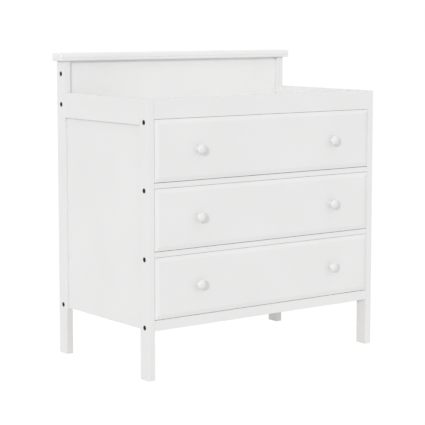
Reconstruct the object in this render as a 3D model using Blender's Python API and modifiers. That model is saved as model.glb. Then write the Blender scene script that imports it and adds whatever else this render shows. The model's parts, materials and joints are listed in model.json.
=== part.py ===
"""Three-drawer changing table: a painted frame, a tray with a raised crown at the back, and three drawers.

Units are metres and +Z is up. The front faces -Y and the width runs along X. The origin is on the floor,
under the centre of the whole table with its knobs and its crown cap.
"""
import math

import bmesh
import bpy
from mathutils import Matrix, Vector

# Overall sizes
CASE_WIDTH = 0.914          # over the outer faces of the posts
CASE_DEPTH = 0.521          # from the front of the front posts to the back of the rear posts
TOTAL_HEIGHT = 0.988        # floor to the top of the crown cap
RIM_HEIGHT = 0.860          # floor to the rim of the tray
LEG_CLEARANCE = 0.1535      # floor to the underside of the bottom rails
DRAWER_NAMES = ("bottom", "middle", "top")

# Frame stock
POST_WIDTH = 0.023
POST_DEPTH = 0.045
RAIL_HEIGHT = 0.032         # bottom rails and dividers
DIVIDER_FACE = 0.017        # the part of a divider seen between two drawer fronts
TRAY_RAIL_HEIGHT = 0.080
APRON_FACE = 0.0615         # the part of the apron seen above the top drawer
REBATE_BACK = 0.012         # the apron's wood behind the rebate for the top drawer front
LOWER_SIDE_RAIL_WIDTH = 0.020
CROWN_THICKNESS = 0.022
BACK_SETBACK = 0.013        # crown and rear bottom rail stand in from the rear posts' back faces
CAP_THICKNESS = 0.025
CAP_SIDE_OVERHANG = 0.0185
CAP_FRONT_OVERHANG = 0.012
CAP_EASE = 0.004

# Panels and the boards they fit
PANEL_THICKNESS = 0.005
PANEL_RECESS = 0.009        # side panels stand in from the posts' outer faces
GROOVE_DEPTH = 0.008
BACK_PANEL_LAP = 0.030      # how far the back panel runs up behind the crown
DECK_THICKNESS = 0.012
DECK_TONGUE = 0.006
TRAY_DEPTH = 0.063

# Drawers
FRONT_THICKNESS = 0.0185    # through the raised field
FRONT_BEVEL_WIDTH = 0.014
FRONT_BEVEL_DEPTH = 0.0035  # the field stands this far proud of the posts, and the border's edge is flush
SIDE_REVEAL = 0.0008
TOP_REVEAL = 0.0008
BOTTOM_REVEAL = 0.0015
REBATE_CLEARANCE = 0.0015   # between a drawer front and the rail behind its top edge
BOX_BOARD = 0.012
BOX_SIDE_CLEARANCE = 0.006
BOX_LIFT = 0.010            # box sides start this far above the front's bottom edge
BOX_HEADROOM = 0.022        # between a box and the rail above it
BOX_REAR_CLEARANCE = 0.031
BASE_THICKNESS = 0.004
BASE_LIFT = 0.008           # base panel above the box sides' bottom edges
BASE_TONGUE = 0.006
SLIDE_RAIL_WIDTH = 0.032
SLIDE_RAIL_HEIGHT = 0.010
SLIDE_RUNNER_WIDTH = 0.025
SLIDE_PLAY = 0.0005

# Knobs
KNOB_DIAMETER = 0.032
KNOB_BASE_DIAMETER = 0.018
KNOB_NECK_DIAMETER = 0.013
KNOB_PROJECTION = 0.027
KNOB_DOME_HEIGHT = 0.010
KNOB_LIP_HEIGHT = 0.002     # the head's edge band, under its dome
KNOB_NECK_HEIGHT = 0.007    # where the stem is narrowest
KNOB_FOOT_HEIGHT = 0.002
KNOB_INSET = 0.1855         # knob axis from the case's outer side

# Connector bolts
BOLT_HEAD_DIAMETER = 0.015
BOLT_HEAD_THICKNESS = 0.002
BOLT_HEAD_EASE = 0.0004
BOLT_SHANK_DIAMETER = 0.006
BOLT_SHANK_LENGTH = 0.046
BOLT_TIP_EASE = 0.001
BOLT_SOCKET_WIDTH = 0.004
BOLT_SOCKET_DEPTH = 0.0014
BOLT_ABOVE_EDGE = 0.009     # bolt axis above a rail's bottom edge
CROWN_BOLT_INSET = 0.042
BOLT_CLEARANCE = 0.0003     # radial, round the shank and the head
BOLT_HEAD_SINK = 0.0004     # head face below the post's surface
BOLT_HOLE_SPARE = 0.004     # hole beyond the bolt's tip

# Fits and fineness
GAP = 0.0003                # left between pieces that touch
EDGE_EASE = 0.0012
GROOVE_PLAY = 0.0005        # between a panel's edge and the bottom of its groove
ROUND_STEPS = 16
KNOB_STEPS = 20
DOME_STEPS = 5
CAP_EASE_STEPS = 3
CUTTER_OVERSHOOT = 0.005

# Places worked out from the sizes
HALF_WIDTH = CASE_WIDTH / 2
INNER_HALF = HALF_WIDTH - POST_WIDTH
FRONT_Y = (KNOB_PROJECTION + GAP + FRONT_BEVEL_DEPTH - CASE_DEPTH) / 2
FIELD_Y = FRONT_Y - FRONT_BEVEL_DEPTH
FRONT_BACK_Y = FIELD_Y + FRONT_THICKNESS
BACK_Y = FRONT_Y + CASE_DEPTH
FRONT_POST_BACK_Y = FRONT_Y + POST_DEPTH
REAR_POST_FRONT_Y = BACK_Y - POST_DEPTH
CROWN_BACK_Y = BACK_Y - BACK_SETBACK
CROWN_FRONT_Y = CROWN_BACK_Y - CROWN_THICKNESS
REBATE_DEPTH = FRONT_BACK_Y + REBATE_CLEARANCE - FRONT_Y
APRON_DEPTH = REBATE_DEPTH + REBATE_BACK
CAP_UNDERSIDE = TOTAL_HEIGHT - CAP_THICKNESS
TRAY_UNDERSIDE = RIM_HEIGHT - TRAY_RAIL_HEIGHT
DECK_TOP = RIM_HEIGHT - TRAY_DEPTH
BOTTOM_RAIL_TOP = LEG_CLEARANCE + RAIL_HEIGHT
BAY_PITCH = (RIM_HEIGHT - APRON_FACE + DIVIDER_FACE - BOTTOM_RAIL_TOP) / len(DRAWER_NAMES)
FRONT_HEIGHT = BAY_PITCH - DIVIDER_FACE - TOP_REVEAL - BOTTOM_REVEAL
HIDDEN_LAP = max(RAIL_HEIGHT - DIVIDER_FACE, TRAY_RAIL_HEIGHT - APRON_FACE)
BOX_HEIGHT = FRONT_HEIGHT + TOP_REVEAL - HIDDEN_LAP - BOX_LIFT - BOX_HEADROOM
BOX_HALF = INNER_HALF - BOX_SIDE_CLEARANCE
BOX_FRONT_Y = FRONT_BACK_Y + GAP
BOX_BACK_Y = CROWN_FRONT_Y - BOX_REAR_CLEARANCE
PANEL_X = HALF_WIDTH - PANEL_RECESS
FRONT_BOLT_Y = FRONT_Y + (REBATE_DEPTH + APRON_DEPTH) / 2
REAR_BOLT_Y = (CROWN_FRONT_Y + CROWN_BACK_Y) / 2

SIDES = (("left", -1), ("right", 1))


def remove_old_objects():
    """Empties the scene."""
    for old in list(bpy.data.objects):
        bpy.data.objects.remove(old, do_unlink=True)


def make_collection(name):
    """Makes a collection under the scene's own."""
    collection = bpy.data.collections.new(name)
    bpy.context.scene.collection.children.link(collection)
    return collection


def make_material(name, colour, roughness, metallic=0.0):
    """Makes a plain Principled BSDF material."""
    material = bpy.data.materials.new(name)
    material.use_nodes = True
    shader = material.node_tree.nodes["Principled BSDF"]
    shader.inputs["Base Color"].default_value = (*colour, 1.0)
    shader.inputs["Roughness"].default_value = roughness
    shader.inputs["Metallic"].default_value = metallic
    return material


remove_old_objects()
PARTS = make_collection("changing_table")
CUTTERS = make_collection("cutters")
WHITE_PAINT = make_material("white_paint", (0.80, 0.80, 0.79), 0.38)
PANEL_PAINT = make_material("panel_paint", (0.79, 0.79, 0.78), 0.42)
BOX_WOOD = make_material("drawer_box_wood", (0.62, 0.47, 0.30), 0.55)
DRAWER_PLY = make_material("drawer_ply", (0.66, 0.52, 0.35), 0.60)
SLIDE_STEEL = make_material("slide_steel", (0.60, 0.61, 0.62), 0.35, 1.0)
BOLT_STEEL = make_material("bolt_steel", (0.05, 0.05, 0.05), 0.40, 1.0)


def place(name, mesh, location, material=None, parent=None):
    """Puts a mesh in the scene at a world location: a part with a material, or a cutter without one."""
    piece = bpy.data.objects.new(name, mesh)
    offset = parent.location if parent else Vector((0, 0, 0))
    piece.location = Vector(location) - offset
    piece.parent = parent
    if material:
        if not mesh.materials:
            mesh.materials.append(material)
        PARTS.objects.link(piece)
    else:
        piece.hide_render = True
        piece.display_type = "WIRE"
        CUTTERS.objects.link(piece)
    return piece


def box(name, x, y, z, material=None, parent=None, ease=EDGE_EASE):
    """Adds a board or a cutter that fills three (low, high) spans. A board's edges are eased."""
    spans = (x, y, z)
    mesh = bpy.data.meshes.new(name)
    shape = bmesh.new()
    bmesh.ops.create_cube(shape, size=1.0)
    bmesh.ops.scale(shape, vec=[high - low for low, high in spans], verts=shape.verts)
    shape.to_mesh(mesh)
    shape.free()
    centre = [(low + high) / 2 for low, high in spans]
    piece = place(name, mesh, centre, material, parent)
    if material and ease:
        add_bevel(piece, ease)
    return piece


def add_bevel(piece, width, segments=1):
    """Eases every edge of a piece."""
    bevel = piece.modifiers.new("eased_edges", "BEVEL")
    bevel.width = width
    bevel.segments = segments
    bevel.limit_method = "ANGLE"


def cut(piece, *cutters):
    """Cuts a piece with each cutter."""
    for cutter in cutters:
        boolean = piece.modifiers.new(cutter.name, "BOOLEAN")
        boolean.operation = "DIFFERENCE"
        boolean.object = cutter


def across_cutter(name, radius, x, y, z):
    """Adds a round cutter whose axis runs along X over the span x, at one y and z."""
    mesh = bpy.data.meshes.new(name)
    shape = bmesh.new()
    bmesh.ops.create_cone(
        shape, cap_ends=True, segments=ROUND_STEPS, radius1=radius, radius2=radius, depth=abs(x[1] - x[0])
    )
    bmesh.ops.rotate(shape, matrix=Matrix.Rotation(math.pi / 2, 3, "Y"), verts=shape.verts)
    shape.to_mesh(mesh)
    shape.free()
    return place(name, mesh, ((x[0] + x[1]) / 2, y, z))


def turned_mesh(name, profile, steps, cutter=None):
    """Turns a profile of (radius, height) points, top to bottom, about Z, and returns the finished mesh."""
    outline = bpy.data.meshes.new(name + "_profile")
    points = [(radius, 0, height) for radius, height in profile]
    outline.from_pydata(points, [(i, i + 1) for i in range(len(points) - 1)], [])
    turning = place(name + "_turning", outline, (0, 0, 0))
    screw = turning.modifiers.new("turned", "SCREW")
    screw.steps = steps
    screw.render_steps = steps
    screw.use_merge_vertices = True
    screw.merge_threshold = 0.00005
    if cutter:
        cut(turning, cutter)
    bpy.context.view_layer.update()
    graph = bpy.context.evaluated_depsgraph_get()
    mesh = bpy.data.meshes.new_from_object(turning.evaluated_get(graph))
    mesh.name = name
    bpy.data.objects.remove(turning, do_unlink=True)
    return mesh


def mirrored(span, side):
    """Turns a span of distances from the middle plane into x values on one side, low first."""
    return tuple(sorted(side * value for value in span))


def add_posts():
    """Adds the four posts. The front pair stops at the tray's rim, the rear pair carries the crown cap."""
    posts = {}
    for word, side in SIDES:
        x = mirrored((INNER_HALF, HALF_WIDTH), side)
        groove_x = mirrored((PANEL_X - PANEL_THICKNESS - GAP, PANEL_X + GAP), side)
        groove_z = (LEG_CLEARANCE - GAP, TRAY_UNDERSIDE + GROOVE_DEPTH)
        front_y = (FRONT_Y, FRONT_POST_BACK_Y)
        rear_y = (REAR_POST_FRONT_Y, BACK_Y)
        front = box(f"front_{word}_post", x, front_y, (0, RIM_HEIGHT), WHITE_PAINT)
        rear = box(f"rear_{word}_post", x, rear_y, (0, CAP_UNDERSIDE - GAP), WHITE_PAINT)
        front_groove = (FRONT_POST_BACK_Y - GROOVE_DEPTH, FRONT_POST_BACK_Y + CUTTER_OVERSHOOT)
        rear_groove = (REAR_POST_FRONT_Y - CUTTER_OVERSHOOT, REAR_POST_FRONT_Y + GROOVE_DEPTH)
        cut(front, box(f"front_{word}_panel_groove", groove_x, front_groove, groove_z))
        cut(rear, box(f"rear_{word}_panel_groove", groove_x, rear_groove, groove_z))
        back_x = mirrored((INNER_HALF - CUTTER_OVERSHOOT, INNER_HALF + GROOVE_DEPTH), side)
        back_y = (CROWN_BACK_Y, CROWN_BACK_Y + PANEL_THICKNESS + 2 * GAP)
        back_z = (LEG_CLEARANCE, TRAY_UNDERSIDE + BACK_PANEL_LAP + GROOVE_PLAY)
        cut(rear, box(f"{word}_back_panel_groove", back_x, back_y, back_z))
        posts["front", side] = front
        posts["rear", side] = rear
    return posts


def add_front_rails():
    """Adds the apron, the two rebated dividers and the front bottom rail. A rebate takes a drawer front."""
    x = (-INNER_HALF + GAP, INNER_HALF - GAP)
    post_y = (FRONT_Y, FRONT_POST_BACK_Y)
    rails = []
    z = (LEG_CLEARANCE, BOTTOM_RAIL_TOP)
    rails.append(box("front_bottom_rail", x, post_y, z, WHITE_PAINT))
    rebate_x = (-HALF_WIDTH, HALF_WIDTH)
    rebate_y = (FRONT_Y - CUTTER_OVERSHOOT, FRONT_Y + REBATE_DEPTH)
    for level, name in enumerate(("lower_divider", "upper_divider"), start=1):
        top = BOTTOM_RAIL_TOP + level * BAY_PITCH
        z = (top - RAIL_HEIGHT, top)
        divider = box(name, x, post_y, z, WHITE_PAINT)
        cut(divider, box(name + "_rebate", rebate_x, rebate_y, (z[0] - CUTTER_OVERSHOOT, top - DIVIDER_FACE)))
        rails.append(divider)
    z = (TRAY_UNDERSIDE, RIM_HEIGHT)
    apron = box("front_apron", x, (FRONT_Y, FRONT_Y + APRON_DEPTH), z, WHITE_PAINT)
    rebate_z = (TRAY_UNDERSIDE - CUTTER_OVERSHOOT, RIM_HEIGHT - APRON_FACE)
    cut(apron, box("apron_rebate", rebate_x, rebate_y, rebate_z))
    rails.append(apron)
    return rails


def add_rear_frame():
    """Adds the rear bottom rail, the crown panel, its cap and the thin back panel."""
    x = (-INNER_HALF + GAP, INNER_HALF - GAP)
    y = (CROWN_FRONT_Y, CROWN_BACK_Y)
    rail = box("rear_bottom_rail", x, y, (LEG_CLEARANCE, BOTTOM_RAIL_TOP), WHITE_PAINT)
    crown = box("crown_panel", x, y, (TRAY_UNDERSIDE, CAP_UNDERSIDE - GAP), WHITE_PAINT)
    cap_half = HALF_WIDTH + CAP_SIDE_OVERHANG
    cap_y = (REAR_POST_FRONT_Y - CAP_FRONT_OVERHANG, BACK_Y)
    cap = box("crown_cap", (-cap_half, cap_half), cap_y, (CAP_UNDERSIDE, TOTAL_HEIGHT), WHITE_PAINT, ease=0)
    add_bevel(cap, CAP_EASE, CAP_EASE_STEPS)
    panel_half = INNER_HALF + GROOVE_DEPTH - GROOVE_PLAY
    panel_y = (CROWN_BACK_Y + GAP, CROWN_BACK_Y + GAP + PANEL_THICKNESS)
    panel_z = (LEG_CLEARANCE + GAP, TRAY_UNDERSIDE + BACK_PANEL_LAP)
    box("back_panel", (-panel_half, panel_half), panel_y, panel_z, PANEL_PAINT, ease=0)
    return rail, crown


def add_side_walls():
    """Adds each side's tray rail, thin panel and lower rail, with the grooves that join them."""
    between_posts = (FRONT_POST_BACK_Y + GAP, REAR_POST_FRONT_Y - GAP)
    panel_y = (
        FRONT_POST_BACK_Y - GROOVE_DEPTH + GROOVE_PLAY,
        REAR_POST_FRONT_Y + GROOVE_DEPTH - GROOVE_PLAY,
    )
    for word, side in SIDES:
        rail_x = mirrored((INNER_HALF, HALF_WIDTH), side)
        rail = box(f"{word}_tray_rail", rail_x, between_posts, (TRAY_UNDERSIDE, RIM_HEIGHT), WHITE_PAINT)
        groove_x = mirrored((PANEL_X - PANEL_THICKNESS - GAP, PANEL_X + GAP), side)
        through_y = (FRONT_Y, BACK_Y)
        groove_z = (TRAY_UNDERSIDE - CUTTER_OVERSHOOT, TRAY_UNDERSIDE + GROOVE_DEPTH)
        deck_x = mirrored((INNER_HALF - CUTTER_OVERSHOOT, INNER_HALF + DECK_TONGUE), side)
        deck_z = (DECK_TOP - DECK_THICKNESS - GAP, DECK_TOP + GAP)
        cut(
            rail,
            box(f"{word}_tray_rail_panel_groove", groove_x, through_y, groove_z),
            box(f"{word}_tray_rail_deck_groove", deck_x, through_y, deck_z),
        )
        panel_x = mirrored((PANEL_X - PANEL_THICKNESS, PANEL_X), side)
        panel_z = (LEG_CLEARANCE, TRAY_UNDERSIDE + GROOVE_DEPTH - GROOVE_PLAY)
        box(f"{word}_side_panel", panel_x, panel_y, panel_z, PANEL_PAINT, ease=0)
        lower_outer = PANEL_X - PANEL_THICKNESS - GAP
        lower_x = mirrored((lower_outer - LOWER_SIDE_RAIL_WIDTH, lower_outer), side)
        box(f"{word}_lower_rail", lower_x, between_posts, (LEG_CLEARANCE, BOTTOM_RAIL_TOP), WHITE_PAINT)


def add_deck():
    """Adds the tray's floor. Its side tongues sit in the tray rails and stop short of the posts."""
    outer = INNER_HALF + DECK_TONGUE - GROOVE_PLAY
    y = (FRONT_Y + APRON_DEPTH + GAP, CROWN_FRONT_Y - GAP)
    z = (DECK_TOP - DECK_THICKNESS, DECK_TOP)
    deck = box("changing_deck", (-outer, outer), y, z, PANEL_PAINT, ease=0)
    notch_z = (z[0] - CUTTER_OVERSHOOT, z[1] + CUTTER_OVERSHOOT)
    for word, side in SIDES:
        notch_x = mirrored((INNER_HALF - GAP, outer + CUTTER_OVERSHOOT), side)
        front_y = (y[0] - CUTTER_OVERSHOOT, FRONT_POST_BACK_Y + GAP)
        rear_y = (REAR_POST_FRONT_Y - GAP, y[1] + CUTTER_OVERSHOOT)
        cut(
            deck,
            box(f"deck_front_{word}_notch", notch_x, front_y, notch_z),
            box(f"deck_rear_{word}_notch", notch_x, rear_y, notch_z),
        )


def bolt_mesh():
    """Makes a connector bolt: a flat round head with a hexagon socket and a plain shank, head up along Z."""
    head = BOLT_HEAD_DIAMETER / 2
    shank = BOLT_SHANK_DIAMETER / 2
    tip = -BOLT_HEAD_THICKNESS - BOLT_SHANK_LENGTH
    profile = [
        (0, 0),
        (head - BOLT_HEAD_EASE, 0),
        (head, -BOLT_HEAD_EASE),
        (head, -BOLT_HEAD_THICKNESS),
        (shank, -BOLT_HEAD_THICKNESS),
        (shank, tip + BOLT_TIP_EASE),
        (shank - BOLT_TIP_EASE, tip),
        (0, tip),
    ]
    mesh = bpy.data.meshes.new("bolt_socket")
    shape = bmesh.new()
    corner = BOLT_SOCKET_WIDTH / math.sqrt(3)
    depth = 2 * BOLT_SOCKET_DEPTH
    bmesh.ops.create_cone(shape, cap_ends=True, segments=6, radius1=corner, radius2=corner, depth=depth)
    shape.to_mesh(mesh)
    shape.free()
    return turned_mesh("connector_bolt", profile, ROUND_STEPS, place("bolt_socket", mesh, (0, 0, 0)))


def add_bolts(posts, front_rails, rear_rails):
    """Adds the bolts through each post into the rails' ends, with their holes and head seats."""
    mesh = bolt_mesh()
    rail_line = {
        "front": [(rail, edge + BOLT_ABOVE_EDGE, FRONT_BOLT_Y) for rail, edge in front_rails],
        "rear": [(rail, z, REAR_BOLT_Y) for rail, z in rear_rails],
    }
    hole_radius = BOLT_SHANK_DIAMETER / 2 + BOLT_CLEARANCE
    seat_radius = BOLT_HEAD_DIAMETER / 2 + BOLT_CLEARANCE
    seat_depth = BOLT_HEAD_SINK + BOLT_HEAD_THICKNESS + GAP
    hole_depth = BOLT_HEAD_SINK + BOLT_HEAD_THICKNESS + BOLT_SHANK_LENGTH + BOLT_HOLE_SPARE
    for word, side in SIDES:
        hole_x = mirrored((HALF_WIDTH - hole_depth, HALF_WIDTH + CUTTER_OVERSHOOT), side)
        seat_x = mirrored((HALF_WIDTH - seat_depth, HALF_WIDTH + CUTTER_OVERSHOOT), side)
        for end, line in rail_line.items():
            for number, (rail, z, y) in enumerate(line, start=1):
                name = f"{end}_{word}_bolt_{number}"
                hole = across_cutter(name + "_hole", hole_radius, hole_x, y, z)
                seat = across_cutter(name + "_seat", seat_radius, seat_x, y, z)
                cut(posts[end, side], hole, seat)
                cut(rail, hole)
                bolt = place(name, mesh, (side * (HALF_WIDTH - BOLT_HEAD_SINK), y, z), BOLT_STEEL)
                bolt.rotation_euler = (0, side * math.pi / 2, 0)


def knob_mesh():
    """Makes a mushroom knob: a foot ring, a waisted neck, a flared underside and a domed head, up along Z."""
    head = KNOB_DIAMETER / 2
    foot = KNOB_BASE_DIAMETER / 2
    neck = KNOB_NECK_DIAMETER / 2
    lip_top = KNOB_PROJECTION - KNOB_DOME_HEIGHT
    dome = []
    for step in range(DOME_STEPS + 1):
        angle = math.pi / 2 * step / DOME_STEPS
        dome.append((head * math.sin(angle), lip_top + KNOB_DOME_HEIGHT * math.cos(angle)))
    lip_bottom = lip_top - KNOB_LIP_HEIGHT
    stem = [
        (head, lip_bottom),
        ((head + neck) / 2, (lip_bottom + KNOB_NECK_HEIGHT) / 2 + KNOB_LIP_HEIGHT),
        (neck, KNOB_NECK_HEIGHT),
        (foot, KNOB_FOOT_HEIGHT),
        (foot, 0),
        (0, 0),
    ]
    return turned_mesh("mushroom_knob", dome + stem, KNOB_STEPS)


def front_board(name, x, y, z, parent):
    """Adds a drawer front: a board whose face has a raised field inside a sloping border."""
    board = box(name, x, y, z, WHITE_PAINT, parent, ease=0)
    shape = bmesh.new()
    shape.from_mesh(board.data)
    face = min(shape.faces, key=lambda each: each.calc_center_median().y)
    border = list(face.verts)
    bmesh.ops.inset_region(shape, faces=[face], thickness=FRONT_BEVEL_WIDTH, use_even_offset=True)
    bmesh.ops.translate(shape, vec=(0, FRONT_BEVEL_DEPTH, 0), verts=border)
    shape.to_mesh(board.data)
    shape.free()
    return board


def add_drawer(level, word, knob):
    """Adds one drawer on its own slide, and the fixed rail under it."""
    shelf = BOTTOM_RAIL_TOP + level * BAY_PITCH
    front_low = shelf + BOTTOM_REVEAL
    slide = bpy.data.objects.new(f"{word}_drawer_slide", None)
    slide.location = (0, FRONT_Y, front_low)
    PARTS.objects.link(slide)

    half = INNER_HALF - SIDE_REVEAL
    front_y = (FIELD_Y, FRONT_BACK_Y)
    front_z = (front_low, front_low + FRONT_HEIGHT)
    front = front_board(f"{word}_drawer_front", (-half, half), front_y, front_z, slide)

    side_z = (front_low + BOX_LIFT, front_low + BOX_LIFT + BOX_HEIGHT)
    base_z = (side_z[0] + BASE_LIFT, side_z[0] + BASE_LIFT + BASE_THICKNESS)
    base_half = BOX_HALF - BOX_BOARD + BASE_TONGUE
    groove_z = (base_z[0] - GAP, base_z[1] + GAP)
    groove_y = (front_y[1] - BASE_TONGUE, BOX_BACK_Y + CUTTER_OVERSHOOT)
    groove = box(f"{word}_base_groove", (-base_half, base_half), groove_y, groove_z)
    cut(front, groove)
    for side_word, side in SIDES:
        x = mirrored((BOX_HALF - BOX_BOARD, BOX_HALF), side)
        board = box(f"{word}_drawer_{side_word}_side", x, (BOX_FRONT_Y, BOX_BACK_Y), side_z, BOX_WOOD, slide)
        cut(board, groove)
        knob_at = (side * (HALF_WIDTH - KNOB_INSET), FIELD_Y - GAP, (front_z[0] + front_z[1]) / 2)
        piece = place(f"{word}_drawer_{side_word}_knob", knob, knob_at, WHITE_PAINT, slide)
        piece.rotation_euler = (math.pi / 2, 0, 0)
    inner = BOX_HALF - BOX_BOARD - GAP
    back_y = (BOX_BACK_Y - BOX_BOARD, BOX_BACK_Y)
    box(f"{word}_drawer_back", (-inner, inner), back_y, (base_z[1] + GAP, side_z[1]), BOX_WOOD, slide)
    panel = base_half - GROOVE_PLAY
    panel_y = (front_y[1] - BASE_TONGUE + GROOVE_PLAY, BOX_BACK_Y)
    box(f"{word}_drawer_base", (-panel, panel), panel_y, base_z, DRAWER_PLY, slide, ease=0)

    rail_z = (shelf + GAP, shelf + GAP + SLIDE_RAIL_HEIGHT)
    rail_half = SLIDE_RAIL_WIDTH / 2
    rail_y = (FRONT_Y + REBATE_DEPTH, CROWN_BACK_Y)
    box(f"{word}_slide_rail", (-rail_half, rail_half), rail_y, rail_z, SLIDE_STEEL)
    runner_half = SLIDE_RUNNER_WIDTH / 2
    runner_z = (rail_z[1] + SLIDE_PLAY, base_z[0] - GAP)
    runner_y = (BOX_FRONT_Y, BOX_BACK_Y)
    box(f"{word}_drawer_runner", (-runner_half, runner_half), runner_y, runner_z, SLIDE_STEEL, slide)


def main():
    """Builds the whole table."""
    posts = add_posts()
    bottom_rail, lower_divider, upper_divider, apron = add_front_rails()
    rear_rail, crown = add_rear_frame()
    add_side_walls()
    add_deck()
    front_rails = [
        (bottom_rail, LEG_CLEARANCE),
        (lower_divider, LEG_CLEARANCE + BAY_PITCH),
        (upper_divider, LEG_CLEARANCE + 2 * BAY_PITCH),
        (apron, TRAY_UNDERSIDE),
    ]
    rear_rails = [
        (rear_rail, LEG_CLEARANCE + BOLT_ABOVE_EDGE),
        (crown, TRAY_UNDERSIDE + CROWN_BOLT_INSET),
        (crown, CAP_UNDERSIDE - CROWN_BOLT_INSET),
    ]
    add_bolts(posts, front_rails, rear_rails)
    knob = knob_mesh()
    for level, word in enumerate(DRAWER_NAMES):
        add_drawer(level, word, knob)


main()
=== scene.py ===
"""The looks of a three-drawer changing table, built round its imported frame.

The frame gives every place and size: each piece here fills the box of the frame's node that it stands for.
Units are metres, +Z is up and the front faces -Y. A shape is worked out as rings of points: an array of
(rings, points round a ring, 3), which `solid` skins as one closed body.
"""
import functools
import json
import logging
import math
from collections.abc import Sequence
from dataclasses import dataclass, replace
from enum import Enum

import bmesh
import bpy
import numpy as np
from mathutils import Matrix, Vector

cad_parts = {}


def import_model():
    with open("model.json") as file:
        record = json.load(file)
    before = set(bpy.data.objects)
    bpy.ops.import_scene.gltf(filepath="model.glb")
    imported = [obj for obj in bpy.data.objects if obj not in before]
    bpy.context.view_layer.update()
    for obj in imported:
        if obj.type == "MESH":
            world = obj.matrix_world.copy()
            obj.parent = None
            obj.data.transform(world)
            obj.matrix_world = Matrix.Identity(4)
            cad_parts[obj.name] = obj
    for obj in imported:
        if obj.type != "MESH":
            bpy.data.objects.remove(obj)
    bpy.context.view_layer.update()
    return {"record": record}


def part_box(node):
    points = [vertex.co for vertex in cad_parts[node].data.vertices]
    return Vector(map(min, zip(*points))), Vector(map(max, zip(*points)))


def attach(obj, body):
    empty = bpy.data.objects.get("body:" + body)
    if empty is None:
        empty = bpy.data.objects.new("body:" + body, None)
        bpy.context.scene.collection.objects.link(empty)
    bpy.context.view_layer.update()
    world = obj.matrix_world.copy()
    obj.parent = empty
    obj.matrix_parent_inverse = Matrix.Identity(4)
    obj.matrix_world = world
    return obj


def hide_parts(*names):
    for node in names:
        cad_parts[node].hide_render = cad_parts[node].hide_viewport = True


LOG = logging.getLogger("changing_table")
DRAWERS = ("bottom", "middle", "top")
SIDES = {"left": -1, "right": 1}
FRONT_RAILS = ("front_bottom_rail", "lower_divider", "upper_divider", "front_apron")
DRAWER_UNDER = {"lower_divider": "bottom", "upper_divider": "middle", "front_apron": "top"}
MERGE_DISTANCE = 1e-6
SMALLEST_RADIUS = 0.00005
SHARP_ANGLE = math.radians(38)
QUARTER = math.pi / 2
MIX_COLOURS = (6, 7)        # a Mix node's two colour inputs
MIX_RESULT = 2              # its colour output
WAVE_SHARE = 1              # a Wave node's output from 0 to 1
CROSS_ARM_RATIO = 5         # an arm of a cross recess is this many half-widths long
SMALLEST_SINE = 0.01


class Run(Enum):
    """The axis that a board's length and its grain follow. A section across it has the next two axes."""

    ACROSS = 0
    DEEP = 1
    UPRIGHT = 2

    @property
    def section(self) -> list[int]:
        """The two axes across the run, in the order that keeps a right-handed frame."""
        return [(self.value + 1) % 3, (self.value + 2) % 3]


@dataclass(frozen=True)
class Block:
    """A box in space, from its lowest corner to its highest."""

    low: tuple[float, float, float]
    high: tuple[float, float, float]

    @classmethod
    def of(cls, node: str) -> "Block":
        """Gives a frame node's box."""
        low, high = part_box(node)
        return cls(tuple(low), tuple(high))

    @property
    def middle(self) -> np.ndarray:
        """The box's centre."""
        return (np.array(self.low) + np.array(self.high)) / 2

    @property
    def side(self) -> int:
        """Tells the table's half that the box is in: -1 for the left, 1 for the right."""
        return 1 if self.middle[0] > 0 else -1

    def grown(self, by: float) -> "Block":
        """Moves every face of the box out by a distance."""
        return Block(tuple(np.array(self.low) - by), tuple(np.array(self.high) + by))

    def spanned(self, run: Run, low: float | None = None, high: float | None = None) -> "Block":
        """Gives the box with a new low or high face on one axis."""
        lows = list(self.low)
        highs = list(self.high)
        lows[run.value] = lows[run.value] if low is None else low
        highs[run.value] = highs[run.value] if high is None else high
        return Block(tuple(lows), tuple(highs))

    def section(self, run: Run) -> tuple[np.ndarray, np.ndarray]:
        """Gives the low and the high corner of the box's section across a run."""
        return np.array(self.low)[run.section], np.array(self.high)[run.section]


def lift(section: np.ndarray, station: np.ndarray, run: Run) -> np.ndarray:
    """Stands flat rings up along a run.

    Args:
        section: (rings, around, 2) points on the two axes across the run.
        station: Each ring's place on the run.
        run: The axis that the rings are strung along.

    Returns:
        (rings, around, 3) points in space.
    """
    points = np.empty((*section.shape[:2], 3))
    points[..., run.value] = station[:, None]
    points[..., run.section] = section
    return points


def rounded_rings(low: np.ndarray, high: np.ndarray, radius: np.ndarray, steps: int = 4) -> np.ndarray:
    """Draws a rectangle with rounded corners for each ring.

    A corner's centre is the rectangle's corner drawn in by the radius on both axes, and its points lie the
    radius away from it, over a quarter turn.

    Args:
        low: (rings, 2) lowest corner of each ring.
        high: (rings, 2) highest corner of each ring.
        radius: Corner radius of each ring.
        steps: Stretches in each corner's quarter turn.

    Returns:
        (rings, 4 * (steps + 1), 2) points, counterclockwise from the middle of the high side.
    """
    turn = (np.arange(4)[:, None] * QUARTER + np.linspace(0.0, QUARTER, steps + 1)).ravel()
    corner = np.repeat([[1, 1], [-1, 1], [-1, -1], [1, -1]], steps + 1, axis=0)
    radius = radius[:, None, None]
    reach = (high - low)[:, None] / 2 - radius
    return (low + high)[:, None] / 2 + corner * reach + radius * np.stack([np.cos(turn), np.sin(turn)], -1)


def eased_ends(low: float, high: float, ease: float, steps: int = 3) -> tuple[np.ndarray, np.ndarray]:
    """Works out the rings of a length whose two ends are rounded over.

    With t from 0 to a quarter turn, a ring stands ease * (1 - cos t) in from its end, and is drawn in by
    ease * (1 - sin t) on all sides.

    Args:
        low: Where the length starts.
        high: Where it ends.
        ease: Radius of the rounding at each end.
        steps: Stretches in each rounding.

    Returns:
        Each ring's place, and how far it is drawn in.
    """
    turn = np.linspace(0.0, QUARTER, steps + 1)
    stand = ease * (1 - np.cos(turn))
    inset = ease * (1 - np.sin(turn))
    return np.concatenate([low + stand, high - stand[::-1]]), np.concatenate([inset, inset[::-1]])


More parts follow.
